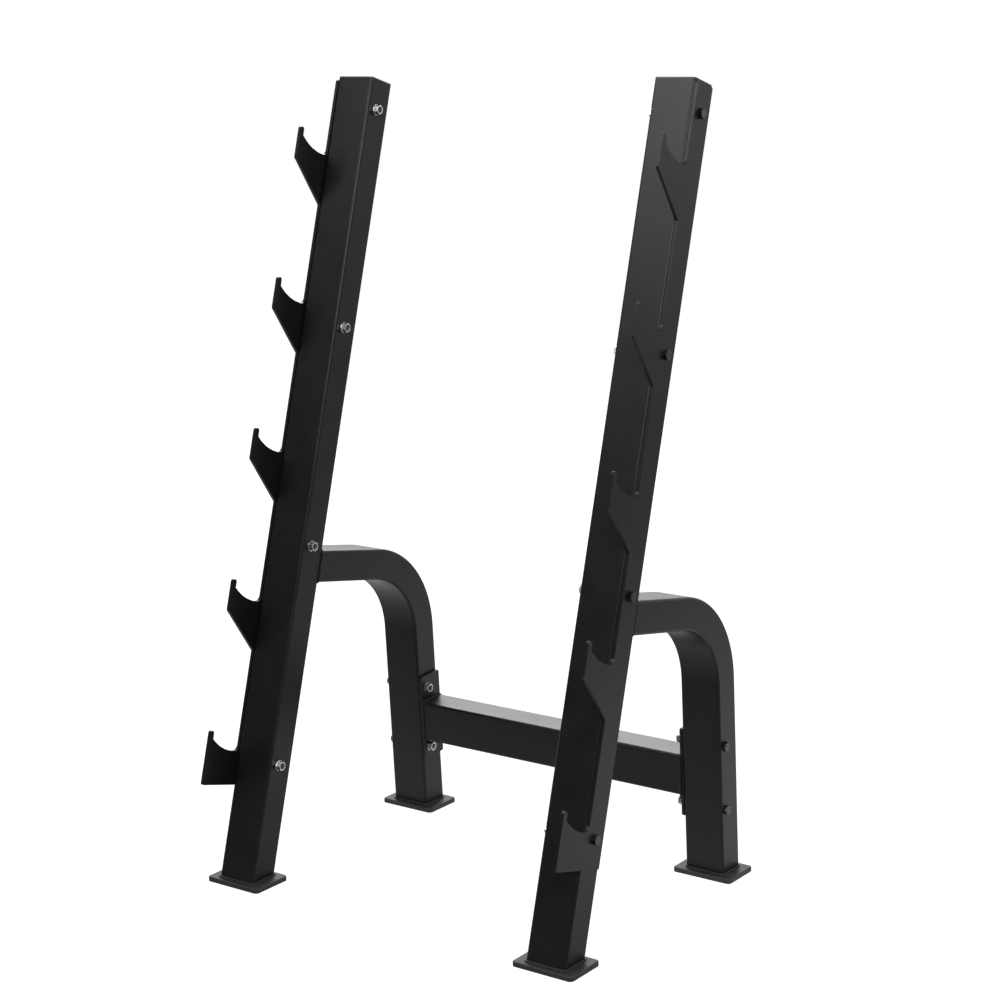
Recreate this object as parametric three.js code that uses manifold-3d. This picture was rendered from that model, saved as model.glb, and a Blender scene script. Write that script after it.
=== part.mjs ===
// Storage rack for five barbells: two leaning uprights with saw-tooth hook plates, each carried by a
// bent rear leg, tied together by one crossmember. Millimetres, Z up, the hooks face -Y.

import * as THREE from 'three';
import { mergeVertices } from 'three/addons/utils/BufferGeometryUtils.js';
import Module from 'manifold-3d';

const wasm = await Module();
wasm.setup();

// Driving dimensions: the whole rack. All tubes are of one section.
const frameSpacing = 688;
const bootSpacing = 524;
const leanDegrees = 15.4;
const tubeWidth = 80;
const tubeDepth = 60;
const tubeWall = 3;
const tubeCorner = 5;

// Top cap of an upright
const capThickness = 3;
const capPlugLength = 16;
const capPlugWall = 2.5;

// Rear leg and its bend
const legRunHeight = 566;
const legRunFallDegrees = 10;
const legSplayDegrees = 4;
const legBendRadius = 172;

// Hook plate: a strip on the outer side of the upright with five hooks in front of it. Heights are
// measured along the leaning upright, from the floor to a hook's tip.
const hookCount = 5;
const hookPitch = 279.5;
const lowestHookHeight = 272;
const topAboveHook = 114;
const plateThickness = 6;
const plateTopGap = 6;
const plateFrontInset = 1;
const plateRearInset = 10;
const plateCorner = 4;
const hookReach = 84;
const lipWidth = 10;
const heelDrop = 58;
const heelRadius = 6;
const hookDrop = 129;
const lowestHookDrop = 100;
const lowestHeelRadius = 3;
const cupDepth = 36.5;
const cupRadius = 100;
const cupLowReach = 12;
const cupFillet = 12;

// Crossmember, a length of the same tube on edge, and the flat brackets at its ends
const crossCentreHeight = 192;
const bracketThickness = 6;
const bracketEdgeInset = 1;
const bracketCorner = 4;
const bracketBoltInset = 15;
const bracketBoltBelow = 16;
const bracketBoltAbove = 28;
const bracketEndMargin = 24;

// Boots
const bootWidth = 122;
const bootDepth = 88;
const bootCorner = 8;
const bootFlange = 9;
const bootFlangeRound = 2.5;
const bootFloor = 5;
const bootCollarHeight = 12;
const bootCollarWall = 2.5;

// Fasteners, all of one size
const boltDiameter = 10;
const boltLength = 100;
const boltHoleDiameter = 11;
const boltEndChamfer = 1.2;
const hexAcrossFlats = 16;
const boltHeadHeight = 6.4;
const nutHeight = 8.4;
const washerDiameter = 20;
const washerThickness = 2;
const hookBoltCount = 4;
const hookBoltEndInset = 51;
const hookBoltInset = 23;

// Clearances, and how far a cutting tool runs past what it cuts
const seat = 0.3;
const boreClearance = 0.3;
const overrun = 20;

// Fineness of round shapes
const cornerSteps = 4;
const bendSteps = 14;
const roundSides = 20;
const hookArcSteps = 7;

const lean = THREE.MathUtils.degToRad(leanDegrees);
const runFall = THREE.MathUtils.degToRad(legRunFallDegrees);
const splay = THREE.MathUtils.degToRad(legSplayDegrees);

// Finishes
const finishes = {
  paint: { color: 0x1c1c1e, roughness: 0.45, metalness: 0.1 },
  rubber: { color: 0x121212, roughness: 0.7, metalness: 0 },
  plastic: { color: 0x141414, roughness: 0.5, metalness: 0 },
  blackSteel: { color: 0x202022, roughness: 0.4, metalness: 0.6 },
  zinc: { color: 0xc4c6c8, roughness: 0.3, metalness: 0.9 },
};

// A named piece with a material of its own
function piece(name, geometry, finish) {
  const mesh = new THREE.Mesh(geometry, new THREE.MeshStandardMaterial(finishes[finish]));
  mesh.name = name;
  return mesh;
}

// A closed geometry as a solid that can be cut and joined
function solidOf(geometry) {
  const bare = geometry.clone();
  bare.deleteAttribute('normal');
  bare.deleteAttribute('uv');
  const merged = mergeVertices(bare);
  return new wasm.Manifold(new wasm.Mesh({
    numProp: 3,
    vertProperties: Float32Array.from(merged.attributes.position.array),
    triVerts: Uint32Array.from(merged.index.array),
  }));
}

// A solid back as a geometry
function geometryOf(solid) {
  const { vertProperties, triVerts } = solid.getMesh();
  const geometry = new THREE.BufferGeometry();
  geometry.setAttribute('position', new THREE.BufferAttribute(vertProperties, 3));
  geometry.setIndex(new THREE.BufferAttribute(triVerts, 1));
  geometry.computeVertexNormals();
  return geometry;
}

// Outline of a rectangle with round corners, centred on the origin
function roundedRectangle(width, depth, corner, Outline = THREE.Shape) {
  const outline = new Outline();
  const x = width / 2 - corner;
  const y = depth / 2 - corner;
  outline.absarc(x, y, corner, 0, Math.PI / 2);
  outline.absarc(-x, y, corner, Math.PI / 2, Math.PI);
  outline.absarc(-x, -y, corner, Math.PI, Math.PI * 3 / 2);
  outline.absarc(x, -y, corner, Math.PI * 3 / 2, Math.PI * 2);
  outline.closePath();
  return outline;
}

// Section of the rectangular tube: the outer outline with the bore as its hole
function tubeSection() {
  const section = roundedRectangle(tubeWidth, tubeDepth, tubeCorner);
  const bore = 2 * tubeWall;
  const boreCorner = tubeCorner - tubeWall;
  section.holes.push(roundedRectangle(tubeWidth - bore, tubeDepth - bore, boreCorner, THREE.Path));
  return section;
}

// A straight prism on an outline, standing on z = bottom
function prism(outline, height, bottom = 0, curveSegments = cornerSteps) {
  const geometry = new THREE.ExtrudeGeometry(outline, { depth: height, bevelEnabled: false, curveSegments });
  return geometry.translate(0, 0, bottom);
}

// A round pin along X, centred at a point
function pinAlongX(diameter, length, y, z) {
  const geometry = new THREE.CylinderGeometry(diameter / 2, diameter / 2, length, roundSides);
  return geometry.rotateZ(Math.PI / 2).translate(0, y, z);
}

// A block that fills all below a level plane, seen from a frame that is tilted about X
function groundBlock(level, tilt) {
  const block = new THREE.BoxGeometry(cutterSize, cutterSize, cutterSize);
  return solidOf(block.translate(0, 0, level - cutterSize / 2).rotateX(tilt));
}

// Adds a straight run and a round corner to an outline, up to where the next straight run starts
function roundCorner(outline, before, corner, after, radius) {
  const toBefore = before.clone().sub(corner).normalize();
  const toAfter = after.clone().sub(corner).normalize();
  const half = Math.acos(toBefore.dot(toAfter)) / 2;
  const tangent = radius / Math.tan(half);
  const start = corner.clone().addScaledVector(toBefore, tangent);
  const end = corner.clone().addScaledVector(toAfter, tangent);
  const inwards = toBefore.clone().add(toAfter).normalize();
  const centre = corner.clone().addScaledVector(inwards, radius / Math.sin(half));
  const clockwise = toBefore.cross(toAfter) > 0;
  outline.lineTo(start.x, start.y);
  outline.absarc(
    centre.x, centre.y, radius,
    Math.atan2(start.y - centre.y, start.x - centre.x),
    Math.atan2(end.y - centre.y, end.x - centre.x),
    clockwise,
  );
}

// Upright frame of reference: its origin is on the floor, z runs up the leaning tube, y through it
const highestTip = lowestHookHeight + (hookCount - 1) * hookPitch;
const uprightTop = highestTip + topAboveHook;
const cutterSize = 2 * uprightTop;
const uprightFront = -tubeDepth / 2;
const plateFront = uprightFront + plateFrontInset;
const plateRear = tubeDepth / 2 - plateRearInset;
const plateTop = uprightTop - plateTopGap;
const plateBottom = lowestHookHeight - lowestHookDrop;
const hookBoltY = uprightFront + hookBoltInset;
const hookBoltSpacing = (plateTop - plateBottom - 2 * hookBoltEndInset) / (hookBoltCount - 1);
const hookBoltHeights = Array.from(
  { length: hookBoltCount },
  (_, i) => plateBottom + hookBoltEndInset + i * hookBoltSpacing,
);

// One hook, drawn from its lower end up to where its cup runs into the strip
function addHook(outline, tip, lowest) {
  const outer = uprightFront - hookReach;
  const inner = outer + lipWidth;
  const foot = new THREE.Vector2(plateFront, tip - (lowest ? lowestHookDrop : hookDrop));
  const heel = new THREE.Vector2(outer, tip - (lowest ? lowestHookDrop : heelDrop));
  const lipTop = new THREE.Vector2(outer, tip - lipWidth / 2);
  roundCorner(outline, foot, heel, lipTop, lowest ? lowestHeelRadius : heelRadius);
  outline.absarc(outer + lipWidth / 2, tip - lipWidth / 2, lipWidth / 2, Math.PI, 0, true);
  const cup = new THREE.Vector2(uprightFront - cupLowReach, tip - cupDepth + cupRadius);
  const lipFoot = Math.atan2(-Math.sqrt(cupRadius ** 2 - (inner - cup.x) ** 2), inner - cup.x);
  const fillet = new THREE.Vector2(plateFront - cupFillet, 0);
  fillet.y = cup.y - Math.sqrt((cupRadius - cupFillet) ** 2 - (fillet.x - cup.x) ** 2);
  const meeting = Math.atan2(fillet.y - cup.y, fillet.x - cup.x);
  outline.absarc(cup.x, cup.y, cupRadius, lipFoot, meeting, false);
  outline.absarc(fillet.x, fillet.y, cupFillet, meeting, 0, false);
}

// A flat plate with bolt holes, cut to an outline in the y-z plane, its thickness along x from zero up
function sidePlate(outline, thickness, holePlaces) {
  for (const [holeY, holeZ] of holePlaces) {
    const hole = new THREE.Path();
    hole.absarc(holeY, holeZ, boltHoleDiameter / 2, 0, Math.PI * 2);
    outline.holes.push(hole);
  }
  const [x, y, z] = [0, 1, 2].map((axis) => new THREE.Vector3().setComponent(axis, 1));
  return prism(outline, thickness, 0, hookArcSteps).applyMatrix4(new THREE.Matrix4().makeBasis(y, z, x));
}

// Hook plate: its outline starts at the rear of its foot, takes in the hooks and comes back over its top
function hookPlateGeometry() {
  const outline = new THREE.Shape();
  outline.moveTo(plateRear, plateBottom);
  for (let i = 0; i < hookCount; i += 1) {
    const tip = lowestHookHeight + i * hookPitch;
    if (i > 0) {
      outline.lineTo(plateFront, tip - hookDrop);
    }
    addHook(outline, tip, i === 0);
  }
  const topFront = new THREE.Vector2(plateFront, plateTop);
  const topRear = new THREE.Vector2(plateRear, plateTop);
  roundCorner(outline, new THREE.Vector2(plateFront, 0), topFront, topRear, plateCorner);
  roundCorner(outline, topFront, topRear, new THREE.Vector2(plateRear, 0), plateCorner);
  outline.closePath();
  return sidePlate(outline, plateThickness, hookBoltHeights.map((height) => [hookBoltY, height]));
}

// The upright tube: cut level above the boot's floor, square below the cap, drilled for the bolts
function uprightGeometry() {
  const topEnd = uprightTop - capThickness - seat;
  let tube = solidOf(prism(tubeSection(), topEnd + tubeDepth, -tubeDepth));
  tube = tube.subtract(groundBlock(bootFloor + seat, lean));
  for (const height of hookBoltHeights) {
    tube = tube.subtract(solidOf(pinAlongX(boltHoleDiameter, tubeWidth + overrun, hookBoltY, height)));
  }
  return geometryOf(tube);
}

// Top cap: a thin lid as large as the tube, with a hollow plug that fits its bore
function capGeometry() {
  const lidBottom = uprightTop - capThickness;
  const lid = prism(roundedRectangle(tubeWidth, tubeDepth, tubeCorner), capThickness, lidBottom);
  const corner = tubeCorner - tubeWall;
  const gap = 2 * (tubeWall + boreClearance);
  const hollow = gap + 2 * capPlugWall;
  const outline = roundedRectangle(tubeWidth - gap, tubeDepth - gap, corner);
  outline.holes.push(roundedRectangle(tubeWidth - hollow, tubeDepth - hollow, corner, THREE.Path));
  const plug = prism(outline, capPlugLength + capThickness / 2, lidBottom - capPlugLength);
  return geometryOf(solidOf(lid).add(solidOf(plug)));
}

// Rear leg: the run meets the upright's rear face, falls gently back, bends and splays down to the floor.
// Points are (y, z) in the frame's side plane, whose origin is on the floor under the upright's axis.
const frontBootY = bootCollarHeight * Math.tan(lean);
const rearBootY = frontBootY + bootSpacing;
const legFloor = new THREE.Vector2(rearBootY + bootCollarHeight * Math.tan(splay), 0);
const runStart = new THREE.Vector2(
  legRunHeight * Math.tan(lean) + tubeDepth / 2 / Math.cos(lean),
  legRunHeight,
);
const runDirection = new THREE.Vector2(Math.cos(runFall), -Math.sin(runFall));
const legDirection = new THREE.Vector2(Math.sin(splay), -Math.cos(splay));
const legCorner = runStart.clone().addScaledVector(
  runDirection,
  legFloor.clone().sub(runStart).cross(legDirection) / runDirection.cross(legDirection),
);
const bendTurn = runDirection.angleTo(legDirection);

// A path through given stations, each with its own direction
class StationPath extends THREE.Curve {
  constructor(stations) {
    super();
    this.stations = stations;
  }

  station(share) {
    return this.stations[Math.round(share * (this.stations.length - 1))];
  }

  getPoint(share) {
    return this.station(share).point.clone();
  }

  getPointAt(share) {
    return this.getPoint(share);
  }

  getTangentAt(share) {
    return this.station(share).direction.clone();
  }
}

function legStations() {
  const station = (point, direction) => ({
    point: new THREE.Vector3(0, point.x, point.y),
    direction: new THREE.Vector3(0, direction.x, direction.y),
  });
  const tangent = legBendRadius * Math.tan(bendTurn / 2);
  const bendStart = legCorner.clone().addScaledVector(runDirection, -tangent);
  const underRun = new THREE.Vector2(runDirection.y, -runDirection.x);
  const centre = bendStart.clone().addScaledVector(underRun, legBendRadius);
  const insideUpright = runStart.clone().addScaledVector(runDirection, -tubeDepth / 2);
  const stations = [station(insideUpright, runDirection)];
  for (let i = 0; i <= bendSteps; i += 1) {
    const turn = -bendTurn * i / bendSteps;
    const point = bendStart.clone().rotateAround(centre, turn);
    stations.push(station(point, runDirection.clone().rotateAround(new THREE.Vector2(), turn)));
  }
  stations.push(station(legFloor.clone().addScaledVector(legDirection, tubeDepth), legDirection));
  return stations;
}

// Leg frame of reference: its origin is on the floor, z runs up the splayed leg, y through it
const bracketBoltY = -tubeDepth / 2 + bracketBoltInset;
const bracketBoltHeights = [
  crossCentreHeight - tubeWidth / 2 - bracketBoltBelow,
  crossCentreHeight + tubeWidth / 2 + bracketBoltAbove,
];
const bracketBottom = bracketBoltHeights[0] - bracketEndMargin;
const bracketHeight = bracketBoltHeights[1] + bracketEndMargin - bracketBottom;
const legMatrix = new THREE.Matrix4().makeTranslation(0, legFloor.x, 0)
  .multiply(new THREE.Matrix4().makeRotationX(splay));

function legGeometry() {
  const path = new StationPath(legStations());
  const steps = path.stations.length - 1;
  const sweep = { steps, extrudePath: path, curveSegments: cornerSteps };
  const swept = new THREE.ExtrudeGeometry(tubeSection(), sweep);
  let leg = solidOf(swept).subtract(groundBlock(bootFloor + seat, 0));
  const behindUpright = tubeDepth / 2 + seat;
  const uprightSide = new THREE.BoxGeometry(cutterSize, cutterSize, cutterSize);
  uprightSide.translate(0, behindUpright - cutterSize / 2, 0).rotateX(-lean);
  leg = leg.subtract(solidOf(uprightSide));
  for (const height of bracketBoltHeights) {
    const drill = pinAlongX(boltHoleDiameter, tubeWidth + overrun, bracketBoltY, height);
    leg = leg.subtract(solidOf(drill.applyMatrix4(legMatrix)));
  }
  return geometryOf(leg);
}

// Bracket: a flat plate on the leg's inner side, as deep as the leg, which the crossmember ends on. On the
// right leg the inner side faces -X, on the left leg +X.
const bracketMiddle = bracketBottom + bracketHeight / 2;
const bracketOuterX = -tubeWidth / 2 - seat - bracketThickness;

function bracketGeometry() {
  const outline = roundedRectangle(tubeDepth - 2 * bracketEdgeInset, bracketHeight, bracketCorner);
  const holePlaces = bracketBoltHeights.map((height) => [bracketBoltY, height - bracketMiddle]);
  return sidePlate(outline, bracketThickness, holePlaces);
}

// Crossmember: a tube along X between the two brackets, its section turned with the legs
function crossmemberGeometry() {
  const length = frameSpacing + 2 * (bracketOuterX - seat);
  const geometry = prism(tubeSection(), length, -length / 2);
  return geometry.rotateY(Math.PI / 2).translate(0, 0, crossCentreHeight);
}

// Boot: a flat flange with round edges and a low collar, with a socket that follows the tube's tilt
function bootGeometry(tilt, tubeFloorY) {
  const flangeOutline = roundedRectangle(
    bootWidth - 2 * bootFlangeRound, bootDepth - 2 * bootFlangeRound, bootCorner - bootFlangeRound,
  );
  const flange = new THREE.ExtrudeGeometry(flangeOutline, {
    depth: bootFlange - bootFlangeRound,
    bevelThickness: bootFlangeRound,
    bevelSize: bootFlangeRound,
    bevelSegments: 3,
    curveSegments: cornerSteps,
  });
  const cutDepth = tubeDepth / Math.cos(tilt) + Math.abs(Math.tan(tilt)) * bootCollarHeight;
  const collar = roundedRectangle(
    tubeWidth + 2 * bootCollarWall, cutDepth + 2 * bootCollarWall, tubeCorner + bootCollarWall,
  );
  const socketOutline = roundedRectangle(
    tubeWidth + 2 * boreClearance, tubeDepth + 2 * boreClearance, tubeCorner + boreClearance,
  );
  const socket = prism(socketOutline, cutterSize, -cutterSize / 2);
  socket.rotateX(-tilt).translate(0, tubeFloorY, 0);
  const boot = solidOf(flange).add(solidOf(prism(collar, bootCollarHeight)));
  const socketSolid = solidOf(socket).subtract(groundBlock(bootFloor, 0));
  return geometryOf(boot.subtract(groundBlock(0, 0)).subtract(socketSolid));
}

// A hexagonal prism along X from zero, with its outer corners turned off by a cone
function hexagon(height, outerEnd) {
  const acrossCorners = hexAcrossFlats / Math.cos(Math.PI / 6);
  const hex = new THREE.CylinderGeometry(acrossCorners / 2, acrossCorners / 2, height, 6);
  const chamfer = (acrossCorners - hexAcrossFlats) / 2;
  const turned = new THREE.LatheGeometry([
    new THREE.Vector2(0, -height),
    new THREE.Vector2(acrossCorners, -height),
    new THREE.Vector2(acrossCorners / 2 + chamfer, height / 2 - chamfer),
    new THREE.Vector2(hexAcrossFlats / 2 - chamfer / 2, height / 2),
    new THREE.Vector2(0, height / 2),
  ], roundSides);
  const solid = solidOf(hex).intersect(solidOf(turned));
  return solidOf(geometryOf(solid).rotateZ(outerEnd > 0 ? -Math.PI / 2 : Math.PI / 2))
    .translate([outerEnd * height / 2, 0, 0]);
}

// Bolt: the head lies outside x = 0, the shank runs to -X and ends in a small chamfer
function boltGeometry() {
  const radius = boltDiameter / 2;
  const shank = new THREE.LatheGeometry([
    new THREE.Vector2(0, -boltLength),
    new THREE.Vector2(radius - boltEndChamfer, -boltLength),
    new THREE.Vector2(radius, -boltLength + boltEndChamfer),
    new THREE.Vector2(radius, boltHeadHeight / 2),
    new THREE.Vector2(0, boltHeadHeight / 2),
  ], roundSides).rotateZ(-Math.PI / 2);
  return geometryOf(hexagon(boltHeadHeight, 1).add(solidOf(shank)));
}

function nutGeometry() {
  const bore = pinAlongX(boltDiameter + 2 * boreClearance, 2 * nutHeight + overrun, 0, 0);
  return geometryOf(hexagon(nutHeight, -1).subtract(solidOf(bore)));
}

function washerGeometry() {
  const inner = boltDiameter / 2 + boreClearance;
  const outer = washerDiameter / 2;
  const section = [
    new THREE.Vector2(inner, 0),
    new THREE.Vector2(inner, -washerThickness),
    new THREE.Vector2(outer, -washerThickness),
    new THREE.Vector2(outer, 0),
    new THREE.Vector2(inner, 0),
  ];
  return new THREE.LatheGeometry(section, roundSides).rotateZ(-Math.PI / 2);
}

// Pieces that are alike on both sides are shaped once
const shapes = {
  upright: uprightGeometry(),
  cap: capGeometry(),
  hookPlate: hookPlateGeometry(),
  leg: legGeometry(),
  bracket: bracketGeometry(),
  frontBoot: bootGeometry(lean, -frontBootY),
  rearBoot: bootGeometry(-splay, legFloor.x - rearBootY),
  bolt: boltGeometry(),
  washer: washerGeometry(),
  nut: nutGeometry(),
};

// A bolt with its washer and nut, for the right frame with its heads towards +X or turned for the left.
// The head seats at headX and the washer at nutX, the two outer faces of the clamped stack.
function fastener(label, side, headX, nutX, y, z) {
  const group = new THREE.Group();
  const bolt = piece(`${label}_bolt`, shapes.bolt, 'blackSteel');
  const washer = piece(`${label}_washer`, shapes.washer, 'zinc');
  const nut = piece(`${label}_nut`, shapes.nut, 'zinc');
  bolt.position.x = headX + seat;
  washer.position.x = nutX - seat;
  nut.position.x = nutX - washerThickness - 2 * seat;
  group.add(bolt, washer, nut);
  group.rotation.z = side > 0 ? 0 : Math.PI;
  group.position.set(0, y, z);
  return group;
}

// One side frame: side is 1 for the right and -1 for the left
function buildFrame(side, label) {
  const frame = new THREE.Group();
  frame.position.x = side * frameSpacing / 2;

  const leaning = new THREE.Group();
  leaning.rotation.x = -lean;
  leaning.add(piece(`upright_${label}`, shapes.upright, 'paint'));
  leaning.add(piece(`upright_cap_${label}`, shapes.cap, 'plastic'));
  const plate = piece(`hook_plate_${label}`, shapes.hookPlate, 'paint');
  const plateInner = tubeWidth / 2 + seat;
  plate.position.x = side * plateInner - (side > 0 ? 0 : plateThickness);
  leaning.add(plate);
  hookBoltHeights.forEach((height, i) => {
    const name = `hook_${label}_${i + 1}`;
    leaning.add(fastener(name, side, plateInner + plateThickness, -tubeWidth / 2, hookBoltY, height));
  });

  const splayed = new THREE.Group();
  splayed.applyMatrix4(legMatrix);
  const bracket = piece(`crossmember_bracket_${label}`, shapes.bracket, 'paint');
  bracket.position.set(side * bracketOuterX - (side > 0 ? 0 : bracketThickness), 0, bracketMiddle);
  splayed.add(bracket);
  bracketBoltHeights.forEach((height, i) => {
    const name = `bracket_${label}_${i + 1}`;
    splayed.add(fastener(name, side, tubeWidth / 2, bracketOuterX, bracketBoltY, height));
  });

  const frontBoot = piece(`boot_front_${label}`, shapes.frontBoot, 'rubber');
  frontBoot.position.y = frontBootY;
  const rearBoot = piece(`boot_rear_${label}`, shapes.rearBoot, 'rubber');
  rearBoot.position.y = rearBootY;
  frame.add(leaning, piece(`rear_leg_${label}`, shapes.leg, 'paint'), splayed, frontBoot, rearBoot);
  return frame;
}

const crossGroup = new THREE.Group();
crossGroup.applyMatrix4(legMatrix);
crossGroup.add(piece('crossmember', crossmemberGeometry(), 'paint'));

const rack = new THREE.Group();
rack.add(buildFrame(-1, 'left'), buildFrame(1, 'right'), crossGroup);

// The origin is the middle of the rack's footprint, from the lowest hooks' fronts to the rear boots
const footprint = new THREE.Box3().setFromObject(rack, true);
rack.position.y = -(footprint.min.y + footprint.max.y) / 2;

export default rack;
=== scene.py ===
# %% [markdown]
# # A storage rack for barbells
#
# The rack is a welded and bolted steel frame: two uprights that lean back, each propped by a bent rear
# leg, and one crossmember that ties the two side frames together. A long plate with five hooks is bolted
# to the outer side of each upright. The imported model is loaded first. It is the frame that every piece
# below is built around: a piece is made at its real size, in metres, and put where the frame says that
# it is.

# %% Load the frame
import math
import bpy
from mathutils import Matrix, Vector


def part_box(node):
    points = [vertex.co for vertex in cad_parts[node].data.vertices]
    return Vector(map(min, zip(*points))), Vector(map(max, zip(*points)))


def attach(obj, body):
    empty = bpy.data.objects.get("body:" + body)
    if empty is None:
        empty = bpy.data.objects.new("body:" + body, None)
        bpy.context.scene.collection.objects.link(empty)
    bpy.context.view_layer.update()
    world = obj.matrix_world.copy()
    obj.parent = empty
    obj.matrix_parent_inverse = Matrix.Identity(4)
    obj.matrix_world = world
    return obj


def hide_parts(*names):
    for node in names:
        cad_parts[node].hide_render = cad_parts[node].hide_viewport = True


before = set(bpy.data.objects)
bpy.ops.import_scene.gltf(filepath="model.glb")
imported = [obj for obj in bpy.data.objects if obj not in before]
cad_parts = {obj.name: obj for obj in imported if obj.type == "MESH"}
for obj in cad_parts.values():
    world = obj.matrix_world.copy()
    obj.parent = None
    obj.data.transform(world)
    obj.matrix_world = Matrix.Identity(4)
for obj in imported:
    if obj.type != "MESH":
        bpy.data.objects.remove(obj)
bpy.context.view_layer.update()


def middle(node):
    """The middle of a node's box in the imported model."""
    low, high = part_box(node)
    return (Vector(low) + Vector(high)) / 2


# %% [markdown]
# ## Camera
#
# The camera stands where the photographer stood: almost four metres off, to the right of the rack and a
# little above its top, looking down. The long lens keeps the two uprights nearly parallel. How far it
# stands in front is measured from the front boots. The camera's axes are written from its pan and tilt,
# because that is how a tripod head is set, and the small roll is the last turn about the lens.

# %% Set the camera
CAMERA_X = 2.28614
CAMERA_BEFORE_BOOTS = 2.87488
CAMERA_HEIGHT = 1.51204
CAMERA_PAN = math.radians(35.47)
CAMERA_TILT = math.radians(11.64)
CAMERA_ROLL = math.radians(-0.50)
CAMERA_LENS = 79.49
SENSOR_WIDTH = 36.0
RIGHT_ANGLE = math.radians(90)

camera_place = Vector((CAMERA_X, middle("boot_front_right").y - CAMERA_BEFORE_BOOTS, CAMERA_HEIGHT))
look = Matrix.Rotation(CAMERA_PAN, 4, "Z") @ Matrix.Rotation(RIGHT_ANGLE - CAMERA_TILT, 4, "X")
camera_data = bpy.data.cameras.new("camera")
camera_data.lens = CAMERA_LENS
camera_data.sensor_width = SENSOR_WIDTH
camera_data.sensor_fit = "HORIZONTAL"
camera = bpy.data.objects.new("camera", camera_data)
camera.matrix_world = Matrix.Translation(camera_place) @ look @ Matrix.Rotation(CAMERA_ROLL, 4, "Z")
bpy.context.scene.collection.objects.link(camera)
bpy.context.scene.camera = camera
print("camera at", tuple(camera.location), "lens", CAMERA_LENS)

# %% [markdown]
# ## Sizes
#
# All sizes are real ones in millimetres, turned to metres once. Places come from the frame where it holds
# them: the boots say where the two side frames stand, and the top cap says how long an upright is.

# %% Sizes of the rack
MM = 0.001
LEAN = math.radians(15.4)
SPLAY = math.radians(4)
RUN_FALL = math.radians(10)

TUBE_WIDTH = 80 * MM
TUBE_DEPTH = 60 * MM
TUBE_WALL = 3 * MM
TUBE_CORNER = 5 * MM
SEAT = 0.3 * MM

LEG_BEND_RADIUS = 172 * MM
RUN_HEIGHT = 566 * MM

PLATE_THICKNESS = 6 * MM
CAP_THICKNESS = 3 * MM
BOOT_FLOOR = 5 * MM
BOOT_COLLAR_HEIGHT = 12 * MM

HOOK_COUNT = 5
HOOK_PITCH = 279.5 * MM
TOP_ABOVE_HOOK = 114 * MM

FRAME_X = middle("boot_front_right").x
UPRIGHT_Y = middle("boot_front_right").y - BOOT_COLLAR_HEIGHT * math.tan(LEAN)
LEG_Y = middle("boot_rear_right").y + BOOT_COLLAR_HEIGHT * math.tan(SPLAY)
cap_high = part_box("upright_cap_right")[1][2]
UPRIGHT_TOP = (cap_high - TUBE_DEPTH / 2 * math.sin(LEAN)) / math.cos(LEAN)
SIDES = {"left": -1, "right": 1}
print("upright length", round(UPRIGHT_TOP, 4), "side frames at x =", round(FRAME_X, 4))

# %% [markdown]
# ## Helpers for work by hand
#
# Every piece below starts from a primitive and is shaped with the same few steps: select something by its
# place, run an operator on it, add a modifier and apply it. These helpers only save typing. `settle` is
# the important one: it bakes a piece's place into its mesh, so its object ends at the origin.

# %% Small helpers
SAME_PLACE = 0.001 * MM
FLAT_FACE_WEIGHT = 80


def only(piece):
    """Deselects everything and selects this piece alone."""
    bpy.ops.object.select_all(action="DESELECT")
    piece.select_set(True)
    bpy.context.view_layer.objects.active = piece


def settle(piece):
    """Bakes the object's place, turn and scale into its mesh."""
    only(piece)
    bpy.ops.object.transform_apply(location=True, rotation=True, scale=True)


def edit(piece, kind="VERT"):
    """Opens the piece in edit mode with all of it selected."""
    only(piece)
    bpy.ops.object.mode_set(mode="EDIT")
    bpy.ops.mesh.select_mode(type=kind)
    bpy.ops.mesh.select_all(action="SELECT")


def pick(piece, kind, test):
    """Opens the piece in edit mode with only the edges or faces selected that pass the test."""
    edit(piece, kind)
    bpy.ops.mesh.select_all(action="DESELECT")
    bpy.ops.object.mode_set(mode="OBJECT")
    mesh = piece.data
    for item in mesh.edges if kind == "EDGE" else mesh.polygons:
        points = [mesh.vertices[i].co for i in item.vertices]
        item.select = test(points)
    bpy.ops.object.mode_set(mode="EDIT")


def done():
    """Closes edit mode."""
    bpy.ops.object.mode_set(mode="OBJECT")


def apply_modifier(piece, kind, **settings):
    """Adds a modifier with these settings and applies it."""
    only(piece)
    bpy.ops.object.modifier_add(type=kind)
    modifier = piece.modifiers[-1]
    for name, value in settings.items():
        setattr(modifier, name, value)
    bpy.ops.object.modifier_apply(modifier=modifier.name)


def recalculate(piece):
    """Merges doubles and points all faces outwards."""
    edit(piece)
    bpy.ops.mesh.remove_doubles(threshold=SAME_PLACE)
    bpy.ops.mesh.normals_make_consistent(inside=False)
    done()


def combine(piece, tool, operation):
    """Cuts, joins or intersects the piece with a tool, and throws the tool away."""
    apply_modifier(piece, "BOOLEAN", object=tool, operation=operation, solver="EXACT")
    bpy.data.objects.remove(tool, do_unlink=True)


def smooth(piece, degrees=35):
    """Round faces shade smoothly, and flat ones stay flat up to their edge."""
    only(piece)
    bpy.ops.object.shade_smooth_by_angle(angle=math.radians(degrees))
    apply_modifier(piece, "WEIGHTED_NORMAL", keep_sharp=True, weight=FLAT_FACE_WEIGHT)


def copy_of(piece, name):
    """A copy with its own mesh."""
    twin = piece.copy()
    twin.data = piece.data.copy()
    twin.name = name
    bpy.context.scene.collection.objects.link(twin)
    return twin


def place(piece, x, y, tilt):
    """Moves a piece from its own upright frame to where it stands, leaning back by the tilt."""
    piece.location = (x, y, 0)
    piece.rotation_euler = (-tilt, 0, 0)
    settle(piece)


def mirror_x(piece):
    """Turns a piece of the right side into its left twin."""
    piece.scale.x = -1
    settle(piece)
    recalculate(piece)


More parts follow.
